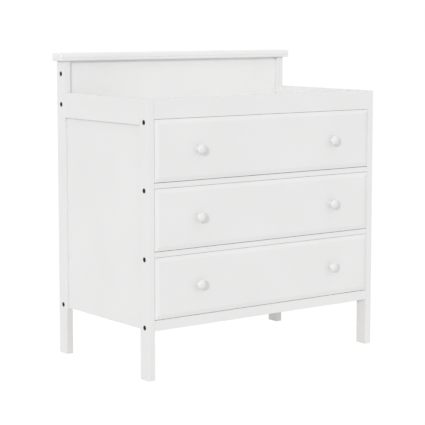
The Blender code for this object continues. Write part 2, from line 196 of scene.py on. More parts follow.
def stacked(
    block: Block, run: Run, station: np.ndarray, inset: np.ndarray, radius: float, steps: int = 4
) -> np.ndarray:
    """Strings the block's section along a run, drawn in by each ring's inset, with rounded corners.

    A corner's radius is the given one less the ring's inset, so that the corner runs on evenly over an edge.

    Args:
        block: The box whose section is drawn.
        run: The axis of the stack.
        station: Each ring's place on it.
        inset: How far each ring is drawn in.
        radius: Corner radius where nothing is drawn in.
        steps: Stretches in a corner.

    Returns:
        The rings' points.
    """
    low, high = block.section(run)
    inset = np.asarray(inset, dtype=float)
    turned = np.maximum(radius - inset, SMALLEST_RADIUS)
    section = rounded_rings(low + inset[:, None], high - inset[:, None], turned, steps)
    return lift(section, np.asarray(station, dtype=float), run)


def board(block: Block, run: Run, radius: float, ease: float) -> np.ndarray:
    """Gives the rings of a board that fills a block, with rounded long edges and eased ends."""
    station, inset = eased_ends(block.low[run.value], block.high[run.value], ease)
    return stacked(block, run, station, inset, radius)


def plain_block(block: Block) -> np.ndarray:
    """Gives the rings of a sharp-edged block, for a cutter."""
    low, high = block.section(Run.UPRIGHT)
    section = rounded_rings(np.array([low, low]), np.array([high, high]), np.zeros(2), 0)
    return lift(section, np.array([block.low[2], block.high[2]]), Run.UPRIGHT)


def rounded_path(
    corners: Sequence[tuple[float, float]], radii: Sequence[float] | float, steps: int = 4
) -> tuple[np.ndarray, np.ndarray]:
    """Rounds the corners of a closed outline.

    Each side has a normal on its right. At a corner the normal turns from one side's to the next one's; the
    arc's centre is the corner moved by r * (n1 + n2) / (1 + n1.n2) to the inside of the bend, and an arc's
    point lies r along the normal from it, away from the bend's inside.

    Args:
        corners: The outline's corners in order.
        radii: Radius of each corner, or one for all.
        steps: Stretches in each corner's arc.

    Returns:
        The points round the outline, and the normal at each.
    """
    at = np.array(corners, dtype=float)
    radius = np.broadcast_to(np.asarray(radii, dtype=float), len(at))[:, None, None]
    ahead = np.roll(at, -1, axis=0) - at
    ahead /= np.linalg.norm(ahead, axis=1)[:, None]
    after = np.stack([ahead[:, 1], -ahead[:, 0]], axis=1)
    before = np.roll(after, 1, axis=0)
    dot = (before * after).sum(axis=1)
    bend = np.arctan2(before[:, 0] * after[:, 1] - before[:, 1] * after[:, 0], dot)
    angle = np.arctan2(before[:, 1], before[:, 0])[:, None] + bend[:, None] * np.linspace(0, 1, steps + 1)
    normal = np.stack([np.cos(angle), np.sin(angle)], axis=-1)
    inward = np.sign(bend)[:, None, None] * radius
    centre = at[:, None] - inward * ((before + after) / (1 + dot)[:, None])[:, None]
    return (centre + inward * normal).reshape(-1, 2), normal.reshape(-1, 2)


def extruded(
    corners: Sequence[tuple[float, float]],
    radii: Sequence[float] | float,
    run: Run,
    ends: tuple[float, float],
    ease: float,
) -> np.ndarray:
    """Carries a rounded outline along a run, and eases its ends by drawing each point in along its normal.

    Args:
        corners: The outline, counterclockwise, on the two axes across the run.
        radii: Radius of each corner, or one for all.
        run: The axis that it is carried along.
        ends: Where it starts and ends.
        ease: Radius of the rounding at each end.

    Returns:
        The rings' points.
    """
    outline, normal = rounded_path(corners, radii)
    station, inset = eased_ends(*ends, ease)
    return lift(outline - inset[:, None, None] * normal, station, run)


def arc(
    centre: tuple[float, float], radii: tuple[float, float], start: float, end: float, steps: int
) -> np.ndarray:
    """Gives points of an ellipse: centre + (a cos t, b sin t), with t from start to end in quarter turns."""
    turn = np.linspace(start, end, steps + 1) * QUARTER
    return np.array(centre) + np.array(radii) * np.stack([np.cos(turn), np.sin(turn)], axis=-1)


def turned(profile: np.ndarray, run: Run, at: Sequence[float], facing: int, around: int = 48) -> np.ndarray:
    """Turns a profile about a line.

    Args:
        profile: (radius, station) points, or (rings, around + 1) radii with the station in the last column.
        run: The axis of the line.
        at: The point where the station is 0.
        facing: 1 where stations grow with the axis, or -1 where they grow against it.
        around: Points in a ring, where the profile gives one radius for each ring.

    Returns:
        The rings' points.
    """
    profile = np.asarray(profile, dtype=float)
    around = around if profile.shape[1] == 2 else profile.shape[1] - 1
    angle = np.arange(around) * 4 * QUARTER / around
    circle = np.stack([np.cos(angle), np.sin(angle)], axis=-1)
    at = np.array(at, dtype=float)
    section = at[run.section] + profile[:, :-1, None] * circle
    return lift(section, at[run.value] + facing * profile[:, -1], run)


def solid(name: str, points: np.ndarray | Sequence[np.ndarray]) -> bpy.types.Object:
    """Skins rings of points as one closed body, or as several alike in one object.

    Each ring is joined to the next with four-sided faces, and an end ring that isn't a point is filled.

    Args:
        name: The object's name.
        points: (rings, around, 3) points, or a sequence of such arrays of one shape.

    Returns:
        The object, at the origin, with its faces pointing outwards.
    """
    bodies = np.asarray(points)
    bodies = bodies.reshape(-1, *bodies.shape[-3:])
    count, rings, around = bodies.shape[:3]
    start = np.arange(count)[:, None] * rings * around
    ring, step = np.meshgrid(np.arange(rings - 1), np.arange(around), indexing="ij")
    here = (ring * around + step).ravel()
    beside = (ring * around + (step + 1) % around).ravel()
    quads = np.stack([here, beside, beside + around, here + around], axis=-1)
    faces = (start[:, :, None] + quads).reshape(-1, 4).tolist()
    for end in (0, rings - 1):
        if np.ptp(bodies[0, end], axis=0).max() > MERGE_DISTANCE:
            faces += (start + end * around + np.arange(around)).tolist()
    mesh = bpy.data.meshes.new(name)
    mesh.from_pydata(bodies.reshape(-1, 3).tolist(), [], faces)
    shape = bmesh.new()
    shape.from_mesh(mesh)
    bmesh.ops.remove_doubles(shape, verts=shape.verts, dist=MERGE_DISTANCE)
    bmesh.ops.recalc_face_normals(shape, faces=shape.faces)
    shape.to_mesh(mesh)
    shape.free()
    piece = bpy.data.objects.new(name, mesh)
    bpy.context.scene.collection.objects.link(piece)
    return piece


def carve(piece: bpy.types.Object, *cuts: np.ndarray | Sequence[np.ndarray]) -> None:
    """Cuts closed bodies out of a piece, and keeps the result as its mesh.

    Args:
        piece: The object that is cut.
        cuts: Each cutter's points, as `solid` takes them.
    """
    cutters = [solid(piece.name + "_cutter", points) for points in cuts]
    for cutter in cutters:
        cut = piece.modifiers.new("cut", "BOOLEAN")
        cut.operation = "DIFFERENCE"
        cut.solver = "EXACT"
        cut.object = cutter
    graph = bpy.context.evaluated_depsgraph_get()
    result = bpy.data.meshes.new_from_object(piece.evaluated_get(graph))
    whole = piece.data
    piece.modifiers.clear()
    piece.data = result
    bpy.data.meshes.remove(whole)
    result.name = piece.name
    for cutter in cutters:
        spent = cutter.data
        bpy.data.objects.remove(cutter, do_unlink=True)
        bpy.data.meshes.remove(spent)


def shade(piece: bpy.types.Object) -> None:
    """Shades a piece smooth up to its sharp edges, with normals that follow its larger faces."""
    piece.data.shade_smooth()
    piece.data.set_sharp_from_angle(angle=SHARP_ANGLE)
    weighted = piece.modifiers.new("even_normals", "WEIGHTED_NORMAL")
    weighted.keep_sharp = True


class Recipe:
    """A material's node tree, with one short call for each kind of node that the finishes use."""

    def __init__(self, name: str) -> None:
        """Starts a material that holds only a Principled BSDF."""
        self.material = bpy.data.materials.new(name)
        self.material.use_nodes = True
        self.tree = self.material.node_tree
        self.shader = self.tree.nodes["Principled BSDF"]

    def node(self, kind: str, *sources: object, **settings: object) -> bpy.types.Node:
        """Adds a node, and joins or sets its inputs in order.

        Args:
            kind: Blender's name for the node, without its ShaderNode prefix.
            sources: For each input in turn, a socket to join, a value to set, or None to leave it.
            settings: Attributes of the node.

        Returns:
            The new node.
        """
        made = self.tree.nodes.new("ShaderNode" + kind)
        for word, value in settings.items():
            setattr(made, word, value)
        for socket, source in zip(made.inputs, sources):
            if isinstance(source, bpy.types.NodeSocket):
                self.tree.links.new(source, socket)
            elif source is not None:
                socket.default_value = source
        return made

    def place(self, stretch: tuple[float, float, float] = (1.0, 1.0, 1.0)) -> bpy.types.NodeSocket:
        """Gives Object coordinates, multiplied by a factor for each axis."""
        source = self.node("TexCoord").outputs["Object"]
        return self.node("Mapping", source, None, None, stretch).outputs[0]

    def noise(self, at: bpy.types.NodeSocket, scale: float, detail: float = 2.0) -> bpy.types.NodeSocket:
        """Gives a smooth random value from 0 to 1, with `scale` changes in a metre."""
        return self.node("TexNoise", at, None, scale, detail).outputs[0]

    def spread(
        self, value: bpy.types.NodeSocket, low: float, high: float, ends: tuple[float, float] = (0.3, 0.7)
    ) -> bpy.types.NodeSocket:
        """Maps the part of a value between two ends to the range from low to high."""
        return self.node("MapRange", value, ends[0], ends[1], low, high).outputs[0]

    def blend(
        self, share: bpy.types.NodeSocket, first: tuple[float, ...], second: tuple[float, ...]
    ) -> bpy.types.NodeSocket:
        """Blends two colours by a share from 0 to 1."""
        mix = self.node("Mix", share, data_type="RGBA")
        for place, colour in zip(MIX_COLOURS, (first, second)):
            socket = mix.inputs[place]
            if isinstance(colour, bpy.types.NodeSocket):
                self.tree.links.new(colour, socket)
            else:
                socket.default_value = (*colour, 1.0)
        return mix.outputs[MIX_RESULT]

    def relief(
        self, height: bpy.types.NodeSocket, depth: float, under: bpy.types.NodeSocket | None = None
    ) -> bpy.types.NodeSocket:
        """Turns a height from 0 to 1 into a bumped normal, with a relief in metres, over another one."""
        bump = self.node("Bump")
        bump.inputs["Distance"].default_value = depth
        self.tree.links.new(height, bump.inputs["Height"])
        if under is not None:
            self.tree.links.new(under, bump.inputs["Normal"])
        return bump.outputs[0]

    def wear(self, **looks: object) -> bpy.types.Material:
        """Joins or sets the shader's inputs, named with underscores for spaces, and returns the material."""
        for word, value in looks.items():
            socket = self.shader.inputs[word.replace("_", " ")]
            if isinstance(value, bpy.types.NodeSocket):
                self.tree.links.new(value, socket)
            elif isinstance(value, tuple):
                socket.default_value = (*value, 1.0)
            else:
                socket.default_value = value
        return self.material


def scaled(colour: tuple[float, float, float], factor: float) -> tuple[float, float, float]:
    """Makes a colour lighter or darker by a factor."""
    return tuple(part * factor for part in colour)


def along(run: Run | None, squeeze: float) -> tuple[float, float, float]:
    """Gives the stretch that draws a pattern out along a run, or leaves it even where there is no run."""
    return tuple(squeeze if run and axis == run.value else 1.0 for axis in range(3))


@dataclass(frozen=True)
class Enamel:
    """Sprayed satin enamel. It has a fine orange peel, and wood grain shows faintly through it."""

    name: str
    run: Run | None = None
    colour: tuple[float, float, float] = (0.80, 0.80, 0.797)
    tone: float = 0.012
    roughness: float = 0.36
    peel: float = 0.000012
    grain: float = 0.00003
    drift_scale: float = 5.0
    sheen_scale: float = 34.0
    sheen_spread: tuple[float, float] = (-0.04, 0.05)
    peel_scale: float = 420.0
    grain_scale: float = 260.0
    grain_squeeze: float = 0.05

    def build(self) -> bpy.types.Material:
        """Makes the material."""
        recipe = Recipe(self.name)
        even = recipe.place()
        drift = recipe.spread(recipe.noise(even, self.drift_scale), 0.0, 1.0)
        base = recipe.blend(drift, scaled(self.colour, 1 - self.tone), scaled(self.colour, 1 + self.tone))
        smooth, rough = (self.roughness + change for change in self.sheen_spread)
        sheen = recipe.spread(recipe.noise(even, self.sheen_scale), smooth, rough)
        normal = recipe.relief(recipe.noise(even, self.peel_scale, 1.0), self.peel)
        if self.run:
            drawn = recipe.place(along(self.run, self.grain_squeeze))
            fibres = recipe.noise(drawn, self.grain_scale, 3.0)
            normal = recipe.relief(fibres, self.grain, normal)
        return recipe.wear(Base_Color=base, Roughness=sheen, Normal=normal)


@dataclass(frozen=True)
class ClearPine:
    """Clear-sealed pine: pale early wood, darker late-wood bands, and fine fibres along the board."""

    name: str
    run: Run
    pale: tuple[float, float, float] = (0.68, 0.52, 0.33)
    dark: tuple[float, float, float] = (0.50, 0.33, 0.17)
    bands: float = 22.0
    roughness: float = 0.48
    band_squeeze: float = 0.07
    warp: float = 5.0
    warp_detail: float = 2.0
    warp_scale: float = 1.2
    late_share: float = 0.8
    late_ends: tuple[float, float] = (0.35, 0.95)
    fibre_squeeze: float = 0.02
    fibre_scale: float = 700.0
    fibre_share: float = 0.22
    fibre_depth: float = 0.00005
    sheen_spread: tuple[float, float] = (-0.06, 0.08)

    def build(self) -> bpy.types.Material:
        """Makes the material."""
        recipe = Recipe(self.name)
        drawn = recipe.place(along(self.run, self.band_squeeze))
        warp = (self.warp, self.warp_detail, self.warp_scale)
        wave = recipe.node("TexWave", drawn, self.bands, *warp, bands_direction="DIAGONAL")
        late = recipe.spread(wave.outputs[WAVE_SHARE], 0.0, self.late_share, self.late_ends)
        fibres = recipe.noise(recipe.place(along(self.run, self.fibre_squeeze)), self.fibre_scale, 3.0)
        wood = recipe.blend(late, self.pale, self.dark)
        wood = recipe.blend(recipe.spread(fibres, 0.0, self.fibre_share), wood, self.dark)
        smooth, rough = (self.roughness + change for change in self.sheen_spread)
        sheen = recipe.spread(fibres, smooth, rough)
        return recipe.wear(Base_Color=wood, Roughness=sheen, Normal=recipe.relief(fibres, self.fibre_depth))


@dataclass(frozen=True)
class Steel:
    """Sheet or turned steel with a thin plating: streaks from rolling, and slow changes in tone."""

    name: str
    colour: tuple[float, float, float]
    roughness: float
    run: Run | None = None
    streak: float = 0.08
    streak_squeeze: float = 0.02
    streak_scale: float = 900.0
    streak_depth: float = 0.000006
    cloud_scale: float = 60.0
    sheen_spread: float = 0.07

    def build(self) -> bpy.types.Material:
        """Makes the material."""
        recipe = Recipe(self.name)
        drawn = recipe.place(along(self.run, self.streak_squeeze))
        streaks = recipe.noise(drawn, self.streak_scale, 3.0)
        cloud = recipe.spread(recipe.noise(recipe.place(), self.cloud_scale, 3.0), 0.0, 1.0)
        base = recipe.blend(cloud, scaled(self.colour, 1 - self.streak), scaled(self.colour, 1 + self.streak))
        rough = self.roughness
        sheen = recipe.spread(streaks, rough - self.sheen_spread, rough + self.sheen_spread)
        relief = recipe.relief(streaks, self.streak_depth)
        return recipe.wear(Base_Color=base, Metallic=1.0, Roughness=sheen, Normal=relief)


Finish = Enamel | ClearPine | Steel
ENAMEL = {run: Enamel(f"enamel_{run.name.lower()}", run) for run in Run}
# The crown panel and the cap take the same white enamel made lighter: painted light, so that they look
# brighter than the drawer fronts
CROWN_ENAMEL_PAINTED_LIGHT = Enamel("crown_enamel_painted_light", Run.ACROSS, (0.835, 0.835, 0.832))
PANEL_ENAMEL = Enamel("panel_enamel", roughness=0.40)
FRONT_ENAMEL = Enamel("front_enamel", Run.ACROSS, roughness=0.34)
# The knobs take the white enamel made darker: painted shade, which dims their domes next to the fronts
KNOB_ENAMEL_PAINTED_SHADE = Enamel("knob_enamel_painted_shade", None, (0.755, 0.755, 0.752), roughness=0.42)
PINE = {run: ClearPine(f"pine_{run.name.lower()}", run) for run in (Run.ACROSS, Run.DEEP)}
PLY = ClearPine("ply_face", Run.ACROSS, (0.70, 0.56, 0.38), (0.57, 0.41, 0.24), 9.0, 0.52)
SOCKET_NYLON = Enamel("socket_nylon", None, (0.74, 0.74, 0.72), 0.02, 0.45)
ZINC = Steel("zinc_plate", (0.60, 0.61, 0.62), 0.35)
BLACK_OXIDE = Steel("black_oxide", (0.045, 0.045, 0.048), 0.40)


@functools.cache
def material_of(finish: Finish) -> bpy.types.Material:
    """Makes a finish's material the first time that it is asked for, and gives the same one after that."""
    return finish.build()


class Drive(Enum):
    """The recess that a driver turns a fastener by."""

    HEXAGON = "hexagon"
    CROSS = "cross"

    def outline(self, angle: np.ndarray, size: float) -> np.ndarray:
        """Gives the recess's radius at each angle.

        A hexagon of width w lies w / 2 / cos(a) away, with a the angle from the middle of the nearest side.
        A cross of arm w lies w away along its arms, and otherwise w / 5 / sin(b), with b the angle from the
        nearest arm's middle.

        Args:
            angle: Angles round the axis.
            size: Width across the hexagon's flats, or length of an arm of the cross.

        Returns:
            The radius at each angle.
        """
        if self is Drive.HEXAGON:
            return size / 2 / np.cos(np.mod(angle, QUARTER * 2 / 3) - QUARTER / 3)
        off = np.abs(np.mod(angle + QUARTER / 2, QUARTER) - QUARTER / 2)
        return np.minimum(size, size / CROSS_ARM_RATIO / np.maximum(np.sin(off), SMALLEST_SINE))


@dataclass(frozen=True)
class Fastener:
    """A bolt or a screw. Its stations are measured from the rim of its face, and grow towards its tip."""

    head_radius: float
    rim: float
    shank_radius: float
    length: float
    drive: Drive
    drive_size: float
    drive_depth: float
    dome: float = 0.0
    taper: float = 0.0
    ease: float = 0.0003
    around: int = 48
    floor_share: float = 0.92
    wall_share: float = 0.15
    face_rings: int = 6

    def rings(self, run: Run, at: Sequence[float], facing: int) -> np.ndarray:
        """Turns the fastener's radii about its axis.

        They start at the middle of the recess's floor, which is drawn in to the floor share of its mouth, and
        go up its walls, which lean out to the mouth's width at the wall share of the recess's depth. They
        cross the face, whose height is the dome's: dome * (1 - (radius / head radius) squared). Then come the
        rim, the underside, the shank and its tip.

        Args:
            run: The axis that the fastener lies along.
            at: The middle of its face.
            facing: 1 where the head points up the axis, or -1.

        Returns:
            The rings' points.
        """
        angle = np.arange(self.around) * 4 * QUARTER / self.around
        recess = self.drive.outline(angle, self.drive_size)
        share = np.linspace(0.0, 1.0, self.face_rings)[:, None]
        face = (1 - share) * recess + share * (self.head_radius - self.ease)
        height = -self.dome * (1 - (face.mean(axis=1) / self.head_radius) ** 2)
        even = np.ones(self.around)
        shank = self.shank_radius
        tip = self.rim + self.length
        rings = [
            (0.0 * even, height[0] + self.drive_depth),
            (self.floor_share * recess, height[0] + self.drive_depth),
            (recess, height[0] + self.wall_share * self.drive_depth),
            *zip(face, height),
            (self.head_radius * even, self.ease),
            ((self.head_radius - self.taper) * even, self.rim),
            (shank * even, self.rim),
            (shank * even, tip - shank / 2),
            (shank / 2 * even, tip),
            (0.0 * even, tip),
        ]
        profile = np.array([[*radius, station] for radius, station in rings])
        return turned(profile, run, at, -facing)


CONNECTOR_BOLT = Fastener(0.0075, 0.002, 0.003, 0.046, Drive.HEXAGON, 0.004, 0.0014)
PANEL_SCREW = Fastener(0.0040, 0.0008, 0.0014, 0.012, Drive.CROSS, 0.0022, 0.0010, dome=0.0013)
KNOB_SCREW = Fastener(0.0045, 0.0009, 0.0019, 0.024, Drive.CROSS, 0.0024, 0.0012, dome=0.0016)
SLIDE_SCREW = Fastener(0.0034, 0.0006, 0.0013, 0.008, Drive.CROSS, 0.0019, 0.0008, dome=0.0009)
BOX_SCREW = Fastener(0.0034, 0.0022, 0.0019, 0.030, Drive.HEXAGON, 0.0030, 0.0014, taper=0.0015)


@dataclass
class SubAssembly:
    """What each sub-assembly shares: the frame's slots, its body, and the hand-over of a piece."""

    slots: dict[str, str]
    body: str = "case"

    def dress(
        self, piece: bpy.types.Object, finish: Finish, node: str | None = None, slot: str | None = None
    ) -> None:
        """Args:
            piece: The object.
            finish: What it is covered with.
            node: The frame's node that the piece stands for, if there is one.
            slot: The record's material slot, where no node gives it; not used.
        """
        piece.data.materials.clear()
        piece.data.materials.append(material_of(finish))
        shade(piece)
        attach(piece, self.body)
        if node:
            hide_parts(node)
        LOG.info("%s: %d faces, rides on %s", piece.name, len(piece.data.polygons), self.body)

    def stand_in(self, node: str, points: np.ndarray | Sequence[np.ndarray]) -> bpy.types.Object:
        """Makes the body of the piece that stands for a node, named after it."""
        return solid(node + "_finished", points)


def bolt_names(end: str, side: str, numbers: Sequence[int]) -> list[str]:
    """Names the connector bolts at one end of one side."""
    return [f"{end}_{side}_bolt_{number}" for number in numbers]


@dataclass(frozen=True)
class Bore:
    """The stepped hole of a connector bolt: a chamfered seat for the head, and a hole for the shank."""

    clearance: float = 0.0003
    chamfer: float = 0.0002
    sink: float = 0.0004
    beyond: float = 0.004
    cone: float = 0.005

    def rings(self, bolt: str) -> np.ndarray:
        """Turns the bore's profile about the bolt's axis, from outside the post to beyond the bolt's tip."""
        block = Block.of(bolt)
        outer = block.high[0] if block.side > 0 else block.low[0]
        seat = CONNECTOR_BOLT.head_radius + self.clearance
        hole = CONNECTOR_BOLT.shank_radius + self.clearance
        floor = CONNECTOR_BOLT.rim + self.clearance
        end = CONNECTOR_BOLT.rim + CONNECTOR_BOLT.length + self.beyond
        mouth = self.chamfer - self.sink
        profile = [
            (0.0, mouth - self.cone),
            (seat + self.cone, mouth - self.cone),
            (seat, mouth),
            (seat, floor),
            (hole, floor),
            (hole, end),
            (0.0, end),
        ]
        at = (outer, block.middle[1], block.middle[2])
        return turned(profile, Run.ACROSS, at, -block.side)


@dataclass(frozen=True)
class BarrelNut:
    """The round cross nut that a connector bolt screws into, with a slot that shows in its hole's mouth."""

    radius: float = 0.004
    half_length: float = 0.006
    from_tip: float = 0.006
    clearance: float = 0.0002
    ease: float = 0.0005
    slot_width: float = 0.0012
    slot_depth: float = 0.0012
    overshoot: float = 0.001

    def centre(self, bolt: str) -> np.ndarray:
        """Gives the point on the bolt's axis that the nut is centred on, a little before the bolt's tip."""
        block = Block.of(bolt)
        centre = block.middle
        tip = block.low[0] if block.side > 0 else block.high[0]
        centre[0] = tip + block.side * self.from_tip
        return centre

    def rings(self, bolt: str, run: Run, facing: int) -> np.ndarray:
        """Turns the nut's profile, a rod with both ends eased, about its own axis."""
        station, inset = eased_ends(-self.half_length, self.half_length, self.ease)
        ends = [(0.0, -self.half_length), *zip(self.radius - inset, station), (0.0, self.half_length)]
        return turned(ends, run, self.centre(bolt), facing)

    def slot(self, bolt: str, run: Run, facing: int) -> np.ndarray:
        """Gives the block that cuts the screwdriver's slot, across the bolt, in the end that shows."""
        centre = self.centre(bolt)
        reach = np.full(3, self.radius + self.overshoot)
        reach[0] = self.slot_width / 2
        reach[run.value] = self.slot_depth
        centre[run.value] += facing * self.half_length
        return plain_block(Block(tuple(centre - reach), tuple(centre + reach)))

    def hole(self, bolt: str, run: Run, surface: float) -> np.ndarray:
        """Turns the hole that takes the nut, from outside a surface to just past the nut."""
        centre = self.centre(bolt)
        facing = 1 if surface > centre[run.value] else -1
        radius = self.radius + self.clearance
        far = -self.half_length - self.clearance
        near = abs(surface - centre[run.value])
        mouth = near + self.overshoot
        profile = [
            (0.0, far),
            (radius, far),
            (radius, near - self.ease),
            (radius + self.ease + self.overshoot, mouth),
            (0.0, mouth),
        ]
        return turned(profile, run, centre, facing)


@dataclass
class CaseFrame(SubAssembly):
    """The painted frame: posts, rails, dividers, apron and crown panel, grooved and bored to be joined."""

    post_round: float = 0.0008
    rail_round: float = 0.0005
    rebate_round: float = 0.0003
    end_ease: float = 0.0006
    rail_ease: float = 0.0003
    groove_clearance: float = 0.0004
    top_reveal: float = 0.0008
    rebate_clearance: float = 0.0015
    nut: BarrelNut = BarrelNut()
    bore: Bore = Bore()

    def build(self) -> None:
        """Makes the whole frame."""
        for side in SIDES:
            self.add_posts(side)
            self.add_side_rails(side)
        for number, node in enumerate(FRONT_RAILS, start=1):
            self.add_cross_rail(node, "front", [number])
        self.add_cross_rail("rear_bottom_rail", "rear", [1])
        self.add_cross_rail("crown_panel", "rear", [2, 3])

    def pocket(self, node: str) -> np.ndarray:
        """Gives the cutter for the groove that holds a panel: the panel's box, grown by the clearance."""
        return plain_block(Block.of(node).grown(self.groove_clearance))

    def add_posts(self, side: str) -> None:
        """Makes a side's two posts, with their panel grooves and bolt holes."""
        for end, numbers, panels in (("front", range(1, 5), []), ("rear", range(1, 4), ["back_panel"])):
            node = f"{end}_{side}_post"
            post = self.stand_in(node, board(Block.of(node), Run.UPRIGHT, self.post_round, self.end_ease))
            bores = [self.bore.rings(bolt) for bolt in bolt_names(end, side, numbers)]
            carve(post, bores, *[self.pocket(panel) for panel in (f"{side}_side_panel", *panels)])
            self.dress(post, ENAMEL[Run.UPRIGHT], node)

    def add_side_rails(self, side: str) -> None:
        """Makes a side's grooved tray rail, and its plain lower rail."""
        upper = f"{side}_tray_rail"
        rail = self.stand_in(upper, board(Block.of(upper), Run.DEEP, self.rail_round, self.rail_ease))
        carve(rail, self.pocket(f"{side}_side_panel"), self.pocket("changing_deck"))
        self.dress(rail, ENAMEL[Run.DEEP], upper)
        lower = f"{side}_lower_rail"
        rail = self.stand_in(lower, board(Block.of(lower), Run.DEEP, self.rail_round, self.rail_ease))
        self.dress(rail, ENAMEL[Run.DEEP], lower)

    def rebated(self, node: str, drawer: str) -> np.ndarray:
        """Gives a rail whose lower front corner is cut away for the drawer front under it.

        Args:
            node: The rail.
            drawer: The word for the drawer under it.

        Returns:
            The rail's rings, from an outline of six corners across it.
        """
        block = Block.of(node)
        front = Block.of(f"{drawer}_drawer_front")
        (low_y, low_z), (high_y, high_z) = block.section(Run.ACROSS)
        step_y = front.high[1] + self.rebate_clearance
        step_z = front.high[2] + self.top_reveal
        corners = [(low_y, step_z), (step_y, step_z), (step_y, low_z)]
        corners += [(high_y, low_z), (high_y, high_z), (low_y, high_z)]
        outer, inner = self.rail_round, self.rebate_round
        radii = [outer, inner, inner, outer, outer, outer]
        return extruded(corners, radii, Run.ACROSS, (block.low[0], block.high[0]), self.rail_ease)

    def add_cross_rail(self, node: str, end: str, numbers: Sequence[int]) -> None:
        """Makes a rail between two posts, bored for its bolts and for the barrel nuts that they screw into.

        Args:
            node: The rail.
            end: Which posts it joins, front or rear.
            numbers: The numbers of its bolts.
        """
        block = Block.of(node)
        if node in DRAWER_UNDER:
            points = self.rebated(node, DRAWER_UNDER[node])
        else:
            points = board(block, Run.ACROSS, self.rail_round, self.rail_ease)
        rail = self.stand_in(node, points)
        bolts = [bolt for side in SIDES for bolt in bolt_names(end, side, numbers)]
        from_behind = node == "crown_panel"
        run, surface = (Run.DEEP, block.high[1]) if from_behind else (Run.UPRIGHT, block.low[2])
        facing = 1 if from_behind else -1
        holes = [self.nut.hole(bolt, run, surface) for bolt in bolts]
        carve(rail, [self.bore.rings(bolt) for bolt in bolts], holes)
        # The crown panel takes the lighter enamel, which is painted light
        self.dress(rail, CROWN_ENAMEL_PAINTED_LIGHT if from_behind else ENAMEL[Run.ACROSS], node)
        nuts = solid(f"{node}_barrel_nuts", [self.nut.rings(bolt, run, facing) for bolt in bolts])
        carve(nuts, [self.nut.slot(bolt, run, facing) for bolt in bolts])
        self.dress(nuts, ZINC, slot="slide_steel")


@dataclass
class CrownCap(SubAssembly):
    """The moulded cap: a rounded nose, a flat fascia, a fine quirk and an ovolo, returned round both ends."""

    nose: float = 0.0042
    ovolo_height: float = 0.0095
    ovolo_inset: float = 0.0036
    quirk_height: float = 0.0009
    quirk_depth: float = 0.0008
    plan_round: float = 0.0042
    back_share: float = 0.2
    least_round: float = 0.0004
    curve_steps: int = 10
    corner_steps: int = 8

    def profile(self, low: float, high: float) -> np.ndarray:
        """Gives the (inset, height) points of the moulding from the underside to the top.

        The ovolo is a quarter of an ellipse that swells outwards, the quirk a small square channel, and the
        nose a quarter circle.

        Args:
            low: Height of the underside.
            high: Height of the top.

        Returns:
            The profile's points.
        """
        step = self.quirk_depth / 2
        foot = low + self.ovolo_height
        swell = (step - self.ovolo_inset, -self.ovolo_height)
        ovolo = arc((self.ovolo_inset, foot), swell, 1, 0, self.curve_steps)
        top = foot + self.quirk_height
        corner = step / 2
        deep = step + self.quirk_depth
        quirk = [
            (step, foot),
            (deep, foot + corner / 2),
            (deep, top - corner / 2),
            (corner, top),
            (0.0, top + corner),
        ]
        nose = arc((self.nose, high - self.nose), (-self.nose, self.nose), 0, 1, self.curve_steps)
        return np.concatenate([ovolo, quirk, nose])

    def build(self) -> None:
        """Makes the cap. Its back stays almost flat, and its corners are rounded in plan."""
        node = "crown_cap"
        block = Block.of(node)
        inset, height = self.profile(block.low[2], block.high[2]).T
        low, high = block.section(Run.UPRIGHT)
        draw = inset[:, None]
        radius = np.maximum(self.plan_round - inset, self.least_round)
        section = rounded_rings(low + draw, high - draw * [1.0, self.back_share], radius, self.corner_steps)
        # The cap takes the lighter enamel, which is painted light
        self.dress(self.stand_in(node, lift(section, height, Run.UPRIGHT)), CROWN_ENAMEL_PAINTED_LIGHT, node)


@dataclass
class TrayAndPanels(SubAssembly):
    """The tray's floor, the thin side and back panels, and the screws that hold the back panel."""

    panel_edge: float = 0.0004
    deck_edge: float = 0.0008
    deck_ease: float = 0.0004
    post_gap: float = 0.0003
    screws_in_row: int = 7
    screw_margin: float = 0.060
    screw_above_edge: float = 0.015

    def build(self) -> None:
        """Makes the panels, the deck and the screws."""
        for node in (*[f"{side}_side_panel" for side in SIDES], "back_panel"):
            panel = self.stand_in(node, board(Block.of(node), Run.UPRIGHT, self.panel_edge, self.panel_edge))
            self.dress(panel, PANEL_ENAMEL, node)
        self.add_deck()
        self.add_screws()

    def add_deck(self) -> None:
        """Makes the tray's floor from an outline of twelve corners: a board with a notch for each post."""
        deck = Block.of("changing_deck")
        inner = Block.of("front_right_post").low[0] - self.post_gap
        front = Block.of("front_right_post").high[1] + self.post_gap
        rear = Block.of("rear_right_post").low[1] - self.post_gap
        (_, low_y, low_z), (wide, high_y, high_z) = deck.low, deck.high
        half = [(inner, low_y), (inner, front), (wide, front), (wide, rear), (inner, rear), (inner, high_y)]
        corners = half + [(-x, y) for x, y in reversed(half)]
        points = extruded(corners, self.deck_edge, Run.UPRIGHT, (low_z, high_z), self.deck_ease)
        self.dress(self.stand_in("changing_deck", points), PANEL_ENAMEL, "changing_deck")

    def add_screws(self) -> None:
        """Makes the pan-head screws in a row along the bottom and the top of the back panel."""
        panel = Block.of("back_panel")
        reach = panel.high[0] - self.screw_margin
        heights = (panel.low[2] + self.screw_above_edge, panel.high[2] - self.screw_above_edge)
        face = panel.high[1] + PANEL_SCREW.rim
        places = [(x, face, z) for z in heights for x in np.linspace(-reach, reach, self.screws_in_row)]
        screws = solid("back_panel_screws", [PANEL_SCREW.rings(Run.DEEP, place, 1) for place in places])
        self.dress(screws, ZINC, slot="slide_steel")


